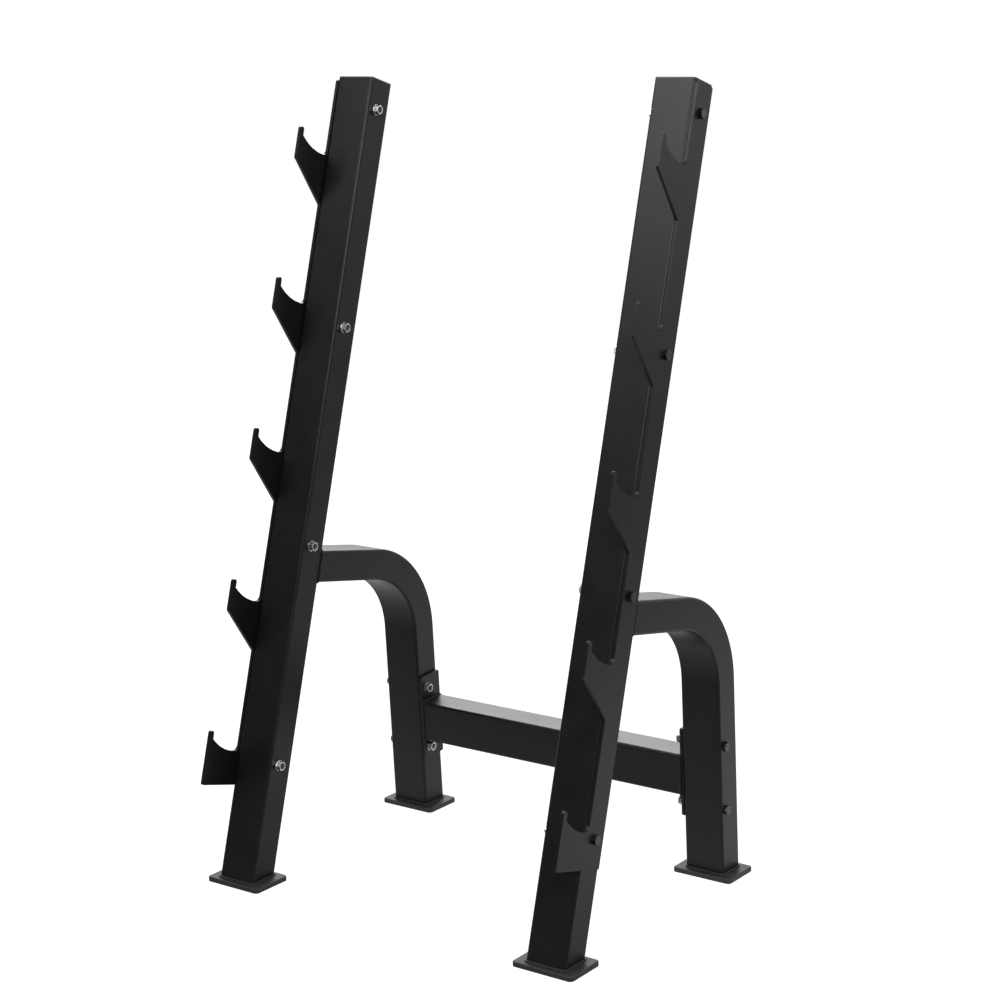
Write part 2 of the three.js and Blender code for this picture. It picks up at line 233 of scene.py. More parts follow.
print("helpers ready")

# %% [markdown]
# ## Finishes
#
# Colours are written as the eye sees them, in sRGB hex, and one function turns them to the linear values
# that a shader wants. Each finish is a small node tree: what the surface is made of, a slow change of
# tone across it, and a fine bump from how it was made.

# %% Colour and node helpers
TONE_DETAIL = 3.0
GRAIN_DETAIL = 2.0
DARK_UP_TO = 0.35
LIGHT_FROM = 0.65


def linear(hex_colour):
    """An sRGB hex colour as the linear RGBA of a shader socket."""
    channels = [int(hex_colour[i:i + 2], 16) / 255 for i in (1, 3, 5)]
    curve = [c / 12.92 if c <= 0.04045 else ((c + 0.055) / 1.055) ** 2.4 for c in channels]
    return (*curve, 1.0)


def add_node(tree, kind, settings=None, inputs=None, links=None):
    """Adds a node, sets its own settings and input values, and links inputs to other outputs."""
    node = tree.nodes.new(kind)
    for name, value in (settings or {}).items():
        setattr(node, name, value)
    for name, value in (inputs or {}).items():
        node.inputs[name].default_value = value
    for name, output in (links or {}).items():
        tree.links.new(output, node.inputs[name])
    return node


def new_finish(name, principled):
    """An empty finish: its tree, its Principled shader and its Object coordinates."""
    material = bpy.data.materials.new(name)
    material.use_nodes = True
    tree = material.node_tree
    shader = tree.nodes["Principled BSDF"]
    for socket, value in principled.items():
        shader.inputs[socket].default_value = value
    coordinates = add_node(tree, "ShaderNodeTexCoord").outputs["Object"]
    return material, tree, shader, coordinates


def mottle(tree, shader, coordinates, dark, light, size):
    """Base colour that drifts between two tones over patches of about this size."""
    noise = add_node(tree, "ShaderNodeTexNoise", inputs={"Scale": 1 / size, "Detail": TONE_DETAIL},
                     links={"Vector": coordinates})
    ramp = add_node(tree, "ShaderNodeValToRGB", links={"Fac": noise.outputs["Fac"]})
    ramp.color_ramp.elements[0].position = DARK_UP_TO
    ramp.color_ramp.elements[1].position = LIGHT_FROM
    ramp.color_ramp.elements[0].color = linear(dark)
    ramp.color_ramp.elements[1].color = linear(light)
    tree.links.new(ramp.outputs["Color"], shader.inputs["Base Color"])
    return noise


def vary_roughness(tree, shader, noise, roughness, spread):
    """Roughness that follows the same patches, up to this spread above and below its middle value."""
    varied = add_node(tree, "ShaderNodeMapRange",
                      inputs={"To Min": roughness - spread, "To Max": roughness + spread},
                      links={"Value": noise.outputs["Fac"]})
    tree.links.new(varied.outputs["Result"], shader.inputs["Roughness"])


def grain_bump(tree, shader, coordinates, size, height, strength):
    """A fine all-over bump, with a grain of this size and height."""
    grain = add_node(tree, "ShaderNodeTexNoise", inputs={"Scale": 1 / size, "Detail": GRAIN_DETAIL},
                     links={"Vector": coordinates})
    bump = add_node(tree, "ShaderNodeBump", inputs={"Strength": strength, "Distance": height},
                    links={"Height": grain.outputs["Fac"]})
    tree.links.new(bump.outputs["Normal"], shader.inputs["Normal"])


print("finish helpers ready")

# %% [markdown]
# ### Black powder coat
#
# The frame is steel tube with a baked polyester powder coat. The powder melts and flows, which leaves a
# satin skin with a faint orange peel of about a millimetre. That is finer than the picture shows, so it
# is drawn at three millimetres, very shallow. The satin is what makes the long soft highlights. Clear
# polyester has an IOR of about 1.5. It is lowered here until the coat looks as dark as on the real rack.

# %% Make the powder coat


def powder_coat():
    roughness = 0.38
    principled = {"Roughness": roughness, "IOR": 1.3}
    material, tree, shader, coordinates = new_finish("black_powder_coat", principled)
    noise = mottle(tree, shader, coordinates, "#0e0e0f", "#121213", size=60 * MM)
    vary_roughness(tree, shader, noise, roughness, spread=0.04)
    grain_bump(tree, shader, coordinates, size=3 * MM, height=0.05 * MM, strength=0.35)
    return material


POWDER_COAT = powder_coat()
print("made", POWDER_COAT.name)

# %% [markdown]
# ### Rubber, plastic and bolts
#
# The boots are moulded rubber, matt and a little grey. The caps are a hard black plastic with a finer
# grain. The bolts are steel with a black oxide, which keeps the metal's reflections but darkens them. Nuts
# and washers are bright zinc, the only light parts on the rack. The grain of all four is drawn at about a
# millimetre, coarser than it is, because a finer one wouldn't show.

# %% Make the other finishes


def moulded(name, dark, light, roughness, grain):
    """A moulded finish, with a grain of this size from the mould."""
    material, tree, shader, coordinates = new_finish(name, {"Roughness": roughness, "IOR": 1.5})
    noise = mottle(tree, shader, coordinates, dark, light, size=25 * MM)
    vary_roughness(tree, shader, noise, roughness, spread=0.05)
    grain_bump(tree, shader, coordinates, grain, height=0.08 * MM, strength=0.5)
    return material


def plated(name, dark, light, roughness):
    """A metal finish, for black oxide and for zinc."""
    material, tree, shader, coordinates = new_finish(name, {"Roughness": roughness, "Metallic": 1.0})
    noise = mottle(tree, shader, coordinates, dark, light, size=4 * MM)
    vary_roughness(tree, shader, noise, roughness, spread=0.06)
    grain_bump(tree, shader, coordinates, size=0.8 * MM, height=0.02 * MM, strength=0.4)
    return material


BOOT_RUBBER = moulded("boot_rubber", "#131313", "#191919", roughness=0.62, grain=1.2 * MM)
CAP_PLASTIC = moulded("cap_plastic", "#151515", "#1a1a1a", roughness=0.45, grain=0.9 * MM)
BLACK_BOLT_STEEL = plated("black_bolt_steel", "#3a3a3c", "#4a4a4d", roughness=0.34)
ZINC_PLATED_STEEL = plated("zinc_plated_steel", "#9c9fa3", "#bfc2c5", roughness=0.30)
FINISHES = {
    "black_powder_coat": POWDER_COAT,
    "boot_rubber": BOOT_RUBBER,
    "cap_plastic": CAP_PLASTIC,
    "black_bolt_steel": BLACK_BOLT_STEEL,
    "zinc_plated_steel": ZINC_PLATED_STEEL,
}
print("made", len(FINISHES), "finishes")

# %% [markdown]
# ## Handing a piece over
#
# Each finished piece takes its finish, rides on the frame's one body and stands for the node of the
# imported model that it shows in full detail.

# %% Hand-over helper


def hand_over(piece, node, finish):
    """Gives a piece its finish and its body, and hides the node that it stands for, if there is one."""
    piece.data.materials.clear()
    piece.data.materials.append(FINISHES[finish])
    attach(piece, "root")
    if node:
        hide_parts(node)
    print("piece", piece.name, len(piece.data.polygons), "faces")


print("hand-over ready")

# %% [markdown]
# ## Tubes
#
# A rectangular tube is rolled and welded from strip, so its corners are round outside and inside. Its
# section is a plane with bevelled corners, emptied to its outline and extruded along the tube. Solidify
# then gives the wall. Ends that are cut are cut after that, with bisect, as a saw would do it, and the
# cut's two loops are bridged to close the wall. Holes are drilled last.

# %% Tube tools
CORNER_SEGMENTS = 8
SAW_ALLOWANCE = TUBE_DEPTH
HOLE_RADIUS = 5.5 * MM
HOLE_SIDES = 32
TUBE_DRILL_LENGTH = 100 * MM
PLATE_DRILL_LENGTH = 20 * MM


def section_outline(name, width, depth, corner=TUBE_CORNER):
    """The outline of a tube's section, flat on the floor plane, open in edit mode and all selected."""
    bpy.ops.object.select_all(action="DESELECT")
    bpy.ops.mesh.primitive_plane_add(size=1, location=(0, 0, 0))
    piece = bpy.context.object
    piece.name = name
    piece.scale = (width, depth, 1)
    settle(piece)
    edit(piece)
    bpy.ops.mesh.bevel(offset=corner, segments=CORNER_SEGMENTS, affect="VERTICES")
    bpy.ops.mesh.select_all(action="SELECT")
    bpy.ops.mesh.delete(type="ONLY_FACE")
    bpy.ops.mesh.select_all(action="SELECT")
    return piece


def draw_out(vector):
    """Extrudes the selected outline along a vector."""
    bpy.ops.mesh.extrude_region_move(TRANSFORM_OT_translate={"value": tuple(vector)})


def spin_round(centre, turn, axis, steps):
    """Spins the selected outline or point by a turn that is positive the right-handed way round the axis."""
    bpy.ops.mesh.spin(steps=steps, angle=-turn, center=tuple(centre), axis=tuple(axis))


def give_wall(piece, wall=TUBE_WALL):
    """Turns a skin into a wall that lies inside it."""
    recalculate(piece)
    apply_modifier(piece, "SOLIDIFY", thickness=wall, offset=-1, use_even_offset=True)


def saw(piece, point, normal):
    """Cuts off all behind a plane and closes the cut wall."""
    edit(piece)
    bpy.ops.mesh.bisect(plane_co=tuple(point), plane_no=tuple(normal), clear_inner=True, use_fill=False)
    bpy.ops.mesh.bridge_edge_loops()
    done()
    recalculate(piece)


def drill(piece, x, y, z, tilt_y, tilt, length=TUBE_DRILL_LENGTH):
    """Drills a hole along X, at a place in a frame that leans back by the tilt about its foot."""
    bpy.ops.object.select_all(action="DESELECT")
    turn = Matrix.Translation((0, tilt_y, 0)) @ Matrix.Rotation(-tilt, 4, "X")
    centre = turn @ Vector((x, y, z))
    bpy.ops.mesh.primitive_cylinder_add(vertices=HOLE_SIDES, radius=HOLE_RADIUS, depth=length,
                                        location=centre, rotation=(0, RIGHT_ANGLE, 0))
    combine(piece, bpy.context.object, "DIFFERENCE")


print("tube tools ready")

# %% [markdown]
# ### Uprights
#
# The upright is the longest tube. It is drawn out straight along Z from a little below the floor, leaned
# back, and sawn level where it stands in its boot. Four holes for the hook plate's bolts go right through it.

# %% Make the uprights
PLATE_TOP_GAP = 6 * MM
LOWEST_TIP = UPRIGHT_TOP - TOP_ABOVE_HOOK - (HOOK_COUNT - 1) * HOOK_PITCH
LOWEST_HOOK_DROP = 100 * MM
PLATE_TOP = UPRIGHT_TOP - PLATE_TOP_GAP
PLATE_BOTTOM = LOWEST_TIP - LOWEST_HOOK_DROP
HOOK_BOLT_COUNT = 4
HOOK_BOLT_END_INSET = 51 * MM
HOOK_BOLT_INSET = 23 * MM
HOOK_BOLT_Y = -TUBE_DEPTH / 2 + HOOK_BOLT_INSET
bolt_span = PLATE_TOP - PLATE_BOTTOM - 2 * HOOK_BOLT_END_INSET
HOOK_BOLT_HEIGHTS = [
    PLATE_BOTTOM + HOOK_BOLT_END_INSET + bolt_span * i / (HOOK_BOLT_COUNT - 1) for i in range(HOOK_BOLT_COUNT)
]


def make_upright(side):
    piece = section_outline(f"upright_{side}_tube", TUBE_WIDTH, TUBE_DEPTH)
    bpy.ops.transform.translate(value=(0, 0, -SAW_ALLOWANCE))
    draw_out((0, 0, UPRIGHT_TOP - CAP_THICKNESS - SEAT + SAW_ALLOWANCE))
    done()
    give_wall(piece)
    place(piece, SIDES[side] * FRAME_X, UPRIGHT_Y, LEAN)
    saw(piece, (0, 0, BOOT_FLOOR + SEAT), (0, 0, 1))
    for height in HOOK_BOLT_HEIGHTS:
        drill(piece, SIDES[side] * FRAME_X, HOOK_BOLT_Y, height, UPRIGHT_Y, LEAN)
    smooth(piece)
    hand_over(piece, f"upright_{side}", "black_powder_coat")


for side in SIDES:
    make_upright(side)

# %% [markdown]
# ### Rear legs
#
# Each leg is one tube, bent round a former: a run that falls gently from the upright, a wide bend and
# a straight leg. The section is set square to the run, drawn along it, spun about the bend's centre, and
# drawn on to the floor. One end is sawn along the upright's rear face and the other level at the floor,
# and two holes take the bolts of the crossmember's bracket.

# %% Make the rear legs
CROSS_HEIGHT = 192 * MM
BRACKET_BOLT_INSET = 15 * MM
BRACKET_BOLT_BELOW = 16 * MM
BRACKET_BOLT_ABOVE = 28 * MM
BRACKET_BOLT_Y = -TUBE_DEPTH / 2 + BRACKET_BOLT_INSET
BRACKET_BOLT_HEIGHTS = (
    CROSS_HEIGHT - TUBE_WIDTH / 2 - BRACKET_BOLT_BELOW,
    CROSS_HEIGHT + TUBE_WIDTH / 2 + BRACKET_BOLT_ABOVE,
)
BEND_STEPS = 40
run_way = Vector((0, math.cos(RUN_FALL), -math.sin(RUN_FALL)))
leg_way = Vector((0, math.sin(SPLAY), -math.cos(SPLAY)))
run_start = Vector((0, UPRIGHT_Y + RUN_HEIGHT * math.tan(LEAN) + TUBE_DEPTH / 2 / math.cos(LEAN), RUN_HEIGHT))
leg_foot = Vector((0, LEG_Y, 0))
to_foot = leg_foot - run_start
run_length = (to_foot.y * leg_way.z - to_foot.z * leg_way.y) / (run_way.y * leg_way.z - run_way.z * leg_way.y)
leg_corner = run_start + run_way * run_length
bend_turn = run_way.angle(leg_way)
bend_reach = LEG_BEND_RADIUS * math.tan(bend_turn / 2)
bend_start = leg_corner - run_way * bend_reach
bend_end = leg_corner + leg_way * bend_reach
bend_centre = bend_start + Vector((0, run_way.z, -run_way.y)) * LEG_BEND_RADIUS
rear_face_normal = Vector((0, math.cos(LEAN), -math.sin(LEAN)))
rear_face_point = Vector((0, UPRIGHT_Y, 0)) + rear_face_normal * (TUBE_DEPTH / 2 + SEAT)
print("bend of", round(math.degrees(bend_turn), 1), "degrees")
print("corner at", tuple(round(v, 4) for v in leg_corner))


def make_leg(side):
    piece = section_outline(f"rear_leg_{side}_tube", TUBE_WIDTH, TUBE_DEPTH)
    done()
    piece.rotation_euler = (-RIGHT_ANGLE - RUN_FALL, 0, 0)
    piece.location = run_start - run_way * SAW_ALLOWANCE
    settle(piece)
    edit(piece)
    draw_out(bend_start - (run_start - run_way * SAW_ALLOWANCE))
    spin_round(bend_centre, -bend_turn, (1, 0, 0), BEND_STEPS)
    draw_out(leg_foot + leg_way * SAW_ALLOWANCE - bend_end)
    done()
    give_wall(piece)
    piece.location.x = SIDES[side] * FRAME_X
    settle(piece)
    saw(piece, (0, 0, BOOT_FLOOR + SEAT), (0, 0, 1))
    saw(piece, rear_face_point, rear_face_normal)
    for height in BRACKET_BOLT_HEIGHTS:
        drill(piece, SIDES[side] * FRAME_X, BRACKET_BOLT_Y, height, LEG_Y, -SPLAY)
    smooth(piece)
    hand_over(piece, f"rear_leg_{side}", "black_powder_coat")


for side in SIDES:
    make_leg(side)

# %% [markdown]
# ### Crossmember
#
# The crossmember is a length of the same tube, laid with its wide side upright between the brackets.

# %% Make the crossmember
BRACKET_THICKNESS = 6 * MM
BRACKET_OUTER_X = TUBE_WIDTH / 2 + SEAT + BRACKET_THICKNESS
CROSS_END = FRAME_X - BRACKET_OUTER_X - SEAT


def make_crossmember():
    piece = section_outline("crossmember_tube", TUBE_WIDTH, TUBE_DEPTH)
    bpy.ops.transform.translate(value=(0, 0, -CROSS_END))
    draw_out((0, 0, 2 * CROSS_END))
    done()
    give_wall(piece)
    piece.rotation_euler = (0, RIGHT_ANGLE, 0)
    piece.location = (0, 0, CROSS_HEIGHT)
    settle(piece)
    place(piece, 0, LEG_Y, -SPLAY)
    smooth(piece)
    hand_over(piece, "crossmember", "black_powder_coat")


make_crossmember()

# %% [markdown]
# ### Brackets
#
# A bracket is a flat plate between the crossmember's end and the leg's inner side. Two bolts clamp it to
# the leg, one above the crossmember and one below. It starts as the same outline as a tube's section,
# filled and drawn out to its thickness, then it is stood up, drilled and bevelled as its coat leaves it.

# %% Make the brackets
BRACKET_END_MARGIN = 24 * MM
BRACKET_EDGE_INSET = 1 * MM
BRACKET_CORNER = 4 * MM
COATED_EDGE = 0.5 * MM
COATED_EDGE_SEGMENTS = 3
SHARP_EDGE = math.radians(60)


def soften(piece, width, segments):
    """Rounds every sharp edge of a piece by a little."""
    apply_modifier(piece, "BEVEL", width=width, segments=segments, limit_method="ANGLE",
                   angle_limit=SHARP_EDGE)


def make_bracket(side):
    low = BRACKET_BOLT_HEIGHTS[0] - BRACKET_END_MARGIN
    high = BRACKET_BOLT_HEIGHTS[1] + BRACKET_END_MARGIN
    depth = TUBE_DEPTH - 2 * BRACKET_EDGE_INSET
    piece = section_outline(f"bracket_{side}_plate", high - low, depth, BRACKET_CORNER)
    bpy.ops.mesh.edge_face_add()
    draw_out((0, 0, BRACKET_THICKNESS))
    done()
    recalculate(piece)
    piece.rotation_euler = (0, -RIGHT_ANGLE, 0)
    piece.location = (BRACKET_THICKNESS - BRACKET_OUTER_X, 0, (low + high) / 2)
    settle(piece)
    for height in BRACKET_BOLT_HEIGHTS:
        drill(piece, -BRACKET_OUTER_X, BRACKET_BOLT_Y, height, 0, 0, PLATE_DRILL_LENGTH)
    soften(piece, COATED_EDGE, COATED_EDGE_SEGMENTS)
    place(piece, FRAME_X, LEG_Y, -SPLAY)
    if side == "left":
        mirror_x(piece)
    smooth(piece)
    hand_over(piece, f"crossmember_bracket_{side}", "black_powder_coat")


for side in SIDES:
    make_bracket(side)

# %% [markdown]
# ## Hook plates
#
# One plate carries all five hooks. It is cut from flat stock, so its outline is drawn once, as with a
# pen: a point is extruded along each straight stretch and spun round each arc. It goes up the
# front, round each heel, over the round lip, down into the long cup and up the small fillet to the strip
# again. The face is filled and extruded, and its cut edge gets the soft rounding that powder coat leaves.

# %% Pen tools


def pen_down(name, point):
    """Starts a line: a plane merged to one point, open in edit mode and selected."""
    bpy.ops.object.select_all(action="DESELECT")
    bpy.ops.mesh.primitive_plane_add(size=MM, location=tuple(point))
    piece = bpy.context.object
    piece.name = name
    settle(piece)
    edit(piece)
    bpy.ops.mesh.merge(type="CENTER")
    bpy.ops.mesh.select_all(action="SELECT")
    return piece


class Pen:
    """A line that is drawn in a plane square to an axis, by extruding and spinning its last point."""

    def __init__(self, name, start, axis):
        self.axis = Vector(axis)
        self.point = Vector(start)
        self.piece = pen_down(name, start)

    def line(self, point):
        """Goes straight to a point."""
        draw_out(Vector(point) - self.point)
        self.point = Vector(point)

    def arc(self, centre, turn, steps):
        """Goes round a centre by a turn."""
        spin_round(centre, turn, self.axis, steps)
        turned = Matrix.Rotation(turn, 3, self.axis) @ (self.point - Vector(centre))
        self.point = Vector(centre) + turned

    def corner(self, corner, after, radius, steps):
        """A straight run to a corner and round it, ready to go on towards the point after it."""
        corner, after = Vector(corner), Vector(after)
        back = (self.point - corner).normalized()
        onwards = (after - corner).normalized()
        half = back.angle(onwards) / 2
        reach = radius / math.tan(half)
        centre = corner + (back + onwards).normalized() * radius / math.sin(half)
        self.line(corner + back * reach)
        turn = math.pi - 2 * half
        sense = 1 if (-back).cross(onwards).dot(self.axis) > 0 else -1
        self.arc(centre, sense * turn, steps)


print("pen ready")

# %% Make the hook plates
PLATE_FRONT_INSET = 1 * MM
PLATE_REAR_INSET = 10 * MM
PLATE_FRONT = -TUBE_DEPTH / 2 + PLATE_FRONT_INSET
PLATE_REAR = TUBE_DEPTH / 2 - PLATE_REAR_INSET
PLATE_CORNER = 4 * MM
HOOK_REACH = 84 * MM
LIP_WIDTH = 10 * MM
HEEL_DROP = 58 * MM
HEEL_RADIUS = 6 * MM
HOOK_DROP = 129 * MM
LOWEST_HEEL_RADIUS = 3 * MM
CUP_DEPTH = 36.5 * MM
CUP_RADIUS = 100 * MM
CUP_LOW_REACH = 12 * MM
CUP_FILLET = 12 * MM
ARC_STEPS = 14
HEEL_STEPS = 6
PLATE_CORNER_STEPS = 5


def draw_hook(pen, tip, lowest):
    """Draws one hook, from its lower end to where its cup runs into the strip."""
    front = -TUBE_DEPTH / 2
    outer = front - HOOK_REACH
    inner = outer + LIP_WIDTH
    heel = tip - (LOWEST_HOOK_DROP if lowest else HEEL_DROP)
    lip_low = tip - LIP_WIDTH / 2
    heel_radius = LOWEST_HEEL_RADIUS if lowest else HEEL_RADIUS
    pen.corner((0, outer, heel), (0, outer, lip_low), heel_radius, HEEL_STEPS)
    pen.line((0, outer, lip_low))
    pen.arc((0, outer + LIP_WIDTH / 2, lip_low), -math.pi, ARC_STEPS)
    cup = Vector((0, front - CUP_LOW_REACH, tip - CUP_DEPTH + CUP_RADIUS))
    lip_foot = cup.z - math.sqrt(CUP_RADIUS ** 2 - (inner - cup.y) ** 2)
    pen.line((0, inner, lip_foot))
    fillet_y = PLATE_FRONT - CUP_FILLET
    fillet_z = cup.z - math.sqrt((CUP_RADIUS - CUP_FILLET) ** 2 - (fillet_y - cup.y) ** 2)
    start = math.atan2(lip_foot - cup.z, inner - cup.y)
    meeting = math.atan2(fillet_z - cup.z, fillet_y - cup.y)
    pen.arc(cup, meeting - start, ARC_STEPS)
    pen.arc((0, fillet_y, fillet_z), -meeting, ARC_STEPS)


def make_hook_plate():
    pen = Pen("hook_plate_blank", (0, PLATE_REAR, PLATE_BOTTOM), (1, 0, 0))
    for i in range(HOOK_COUNT):
        tip = LOWEST_TIP + i * HOOK_PITCH
        if i > 0:
            pen.line((0, PLATE_FRONT, tip - HOOK_DROP))
        draw_hook(pen, tip, i == 0)
    pen.corner((0, PLATE_FRONT, PLATE_TOP), (0, PLATE_REAR, PLATE_TOP), PLATE_CORNER, PLATE_CORNER_STEPS)
    pen.corner((0, PLATE_REAR, PLATE_TOP), (0, PLATE_REAR, PLATE_BOTTOM), PLATE_CORNER, PLATE_CORNER_STEPS)
    pen.line((0, PLATE_REAR, PLATE_BOTTOM))
    piece = pen.piece
    bpy.ops.mesh.select_all(action="SELECT")
    bpy.ops.mesh.remove_doubles(threshold=SAME_PLACE)
    bpy.ops.mesh.edge_face_add()
    bpy.ops.mesh.select_all(action="SELECT")
    draw_out((PLATE_THICKNESS, 0, 0))
    done()
    recalculate(piece)
    return piece


plate_blank = make_hook_plate()
print("hook plate:", len(plate_blank.data.vertices), "points,", len(plate_blank.data.polygons), "faces")

# %% Finish the hook plates
for height in HOOK_BOLT_HEIGHTS:
    drill(plate_blank, PLATE_THICKNESS / 2, HOOK_BOLT_Y, height, 0, 0, PLATE_DRILL_LENGTH)
soften(plate_blank, COATED_EDGE, COATED_EDGE_SEGMENTS)
for side in SIDES:
    plate = copy_of(plate_blank, f"hook_plate_{side}_cut")
    place(plate, FRAME_X + TUBE_WIDTH / 2 + SEAT, UPRIGHT_Y, LEAN)
    if side == "left":
        mirror_x(plate)
    smooth(plate)
    hand_over(plate, f"hook_plate_{side}", "black_powder_coat")
bpy.data.objects.remove(plate_blank, do_unlink=True)

# %% [markdown]
# ## Caps and boots
#
# A cap closes the top of each upright. It is a thin moulded lid with soft edges, and its plug is out of
# sight in the tube. A boot is a rubber shoe: a broad flange on the floor, a low collar round the tube and
# a socket that leans with the tube. Both start from a cube, and bevels give the moulded rounding.

# %% Block tools


def block(name, low, high):
    """A cube between two corners."""
    bpy.ops.object.select_all(action="DESELECT")
    centre = (Vector(low) + Vector(high)) / 2
    bpy.ops.mesh.primitive_cube_add(size=1, location=tuple(centre))
    piece = bpy.context.object
    piece.name = name
    piece.scale = Vector(high) - Vector(low)
    settle(piece)
    return piece


def round_upright_edges(piece, radius, segments=8):
    """Bevels the edges that run along Z."""
    pick(piece, "EDGE", lambda p: (p[0].xy - p[1].xy).length < SAME_PLACE)
    bpy.ops.mesh.bevel(offset=radius, segments=segments, affect="EDGES")
    done()


def round_rim(piece, height, radius, segments=4):
    """Bevels the edges that lie level at this height."""
    pick(piece, "EDGE", lambda p: all(abs(q.z - height) < SAME_PLACE for q in p))
    bpy.ops.mesh.bevel(offset=radius, segments=segments, affect="EDGES")
    done()


print("block tools ready")

# %% Make the caps
CAP_EDGE = 1.0 * MM
CAP_PLUG_LENGTH = 16 * MM
PLUG_CLEARANCE = 0.3 * MM


def make_cap(side):
    half = Vector((TUBE_WIDTH / 2, TUBE_DEPTH / 2, 0))
    lid_bottom = UPRIGHT_TOP - CAP_THICKNESS
    low_corner = -half + Vector((0, 0, lid_bottom))
    high_corner = half + Vector((0, 0, UPRIGHT_TOP))
    piece = block(f"cap_{side}_moulding", low_corner, high_corner)
    round_upright_edges(piece, TUBE_CORNER)
    round_rim(piece, UPRIGHT_TOP, CAP_EDGE)
    inset = TUBE_WALL + PLUG_CLEARANCE
    pick(piece, "FACE", lambda p: all(abs(q.z - lid_bottom) < SAME_PLACE for q in p))
    bpy.ops.mesh.inset(thickness=inset, depth=0)
    draw_out((0, 0, -CAP_PLUG_LENGTH))
    done()
    recalculate(piece)
    place(piece, SIDES[side] * FRAME_X, UPRIGHT_Y, LEAN)
    smooth(piece)
    hand_over(piece, f"upright_cap_{side}", "cap_plastic")


for side in SIDES:
    make_cap(side)

# %% Make the boots
BOOT_WIDTH = 122 * MM
BOOT_DEPTH = 88 * MM
BOOT_CORNER = 8 * MM
BOOT_CORNER_SEGMENTS = 10
BOOT_FLANGE = 9 * MM
BOOT_FLANGE_ROUND = 2.5 * MM
COLLAR_WALL = 2.5 * MM
COLLAR_ROUND = 1.2 * MM
SOCKET_HEIGHT = 4 * BOOT_COLLAR_HEIGHT


def make_boot(end, side):
    tilt = LEAN if end == "front" else -SPLAY
    foot_y = UPRIGHT_Y if end == "front" else LEG_Y
    centre = middle(f"boot_{end}_{side}").xy
    corner = Vector((BOOT_WIDTH / 2, BOOT_DEPTH / 2))
    name = f"boot_{end}_{side}_moulding"
    piece = block(name, (*(centre - corner), 0), (*(centre + corner), BOOT_FLANGE))
    round_upright_edges(piece, BOOT_CORNER, BOOT_CORNER_SEGMENTS)
    round_rim(piece, BOOT_FLANGE, BOOT_FLANGE_ROUND)
    cut_depth = TUBE_DEPTH / math.cos(tilt) + abs(math.tan(tilt)) * BOOT_COLLAR_HEIGHT
    half = Vector((TUBE_WIDTH / 2 + COLLAR_WALL, cut_depth / 2 + COLLAR_WALL))
    collar = block("collar", (*(centre - half), BOOT_FLOOR), (*(centre + half), BOOT_COLLAR_HEIGHT))
    round_upright_edges(collar, TUBE_CORNER + COLLAR_WALL)
    round_rim(collar, BOOT_COLLAR_HEIGHT, COLLAR_ROUND)
    combine(piece, collar, "UNION")
    gap = Vector((TUBE_WIDTH / 2 + SEAT, TUBE_DEPTH / 2 + SEAT))
    socket = block("socket", (*(-gap), 0), (*gap, SOCKET_HEIGHT))
    round_upright_edges(socket, TUBE_CORNER + SEAT)
    place(socket, centre.x, foot_y, tilt)
    edit(socket)
    bpy.ops.mesh.bisect(plane_co=(0, 0, BOOT_FLOOR), plane_no=(0, 0, 1), clear_inner=True, use_fill=True)
    done()
    recalculate(socket)
    combine(piece, socket, "DIFFERENCE")
    smooth(piece)
    hand_over(piece, f"boot_{end}_{side}", "boot_rubber")


for side in SIDES:
    for end in ("front", "rear"):
        make_boot(end, side)

# %% [markdown]
# ## Bolts, washers and nuts
#
# All are M10. A hexagon bar is turned at 30 degrees before it is cut off, which leaves the curved edges on
# each flat. The same happens here: a six-sided cylinder is intersected with a cone. The thread at the
# bolt's end is a real screw, a small tooth turned and lifted by the Screw modifier. Each is made once.

# %% Hexagon, thread and washer
BOLT_RADIUS = 5 * MM
BOLT_LENGTH = 100 * MM
HEX_FLATS = 16 * MM
HEAD_HEIGHT = 6.4 * MM
NUT_HEIGHT = 8.4 * MM
WASHER_RADIUS = 10 * MM
WASHER_THICKNESS = 2 * MM
THREAD_PITCH = 1.5 * MM
THREAD_DEPTH = 0.9 * MM
THREAD_CREST = BOLT_RADIUS - 0.05 * MM
THREAD_TURNS = 16
THREAD_STEPS = 24
CREST_START = 0.42
CREST_END = 0.58
ROUND_SIDES = 48
FINE_ROUND_SIDES = 64
HEX_SIDES = 6
TURNING_ANGLE = math.radians(30)
TURNED_SHARE = 0.95
WASHER_EDGE = 0.25 * MM
WASHER_EDGE_SEGMENTS = 2
ALONG_X = (0, RIGHT_ANGLE, 0)


def rod(name, radius, low, high, vertices=ROUND_SIDES, end_radius=None):
    """A cylinder or cone along X between two places."""
    bpy.ops.object.select_all(action="DESELECT")
    bpy.ops.mesh.primitive_cone_add(vertices=vertices, radius1=radius,
                                    radius2=radius if end_radius is None else end_radius,
                                    depth=high - low, location=((low + high) / 2, 0, 0), rotation=ALONG_X)
    piece = bpy.context.object
    piece.name = name
    settle(piece)
    return piece


def hexagon(name, low, high, turned_low, turned_high):
    """A hexagon bar along X, with one or both ends turned to 30 degrees."""
    piece = rod(name, HEX_FLATS / 2 / math.cos(math.radians(30)), low, high, HEX_SIDES)
    widen = (high - low) / math.tan(TURNING_ANGLE)
    end = HEX_FLATS / 2 * TURNED_SHARE
    if turned_high:
        combine(piece, rod("turning", end + widen, low, high, FINE_ROUND_SIDES, end), "INTERSECT")
    if turned_low:
        combine(piece, rod("turning", end, low, high, FINE_ROUND_SIDES, end + widen), "INTERSECT")
    return piece


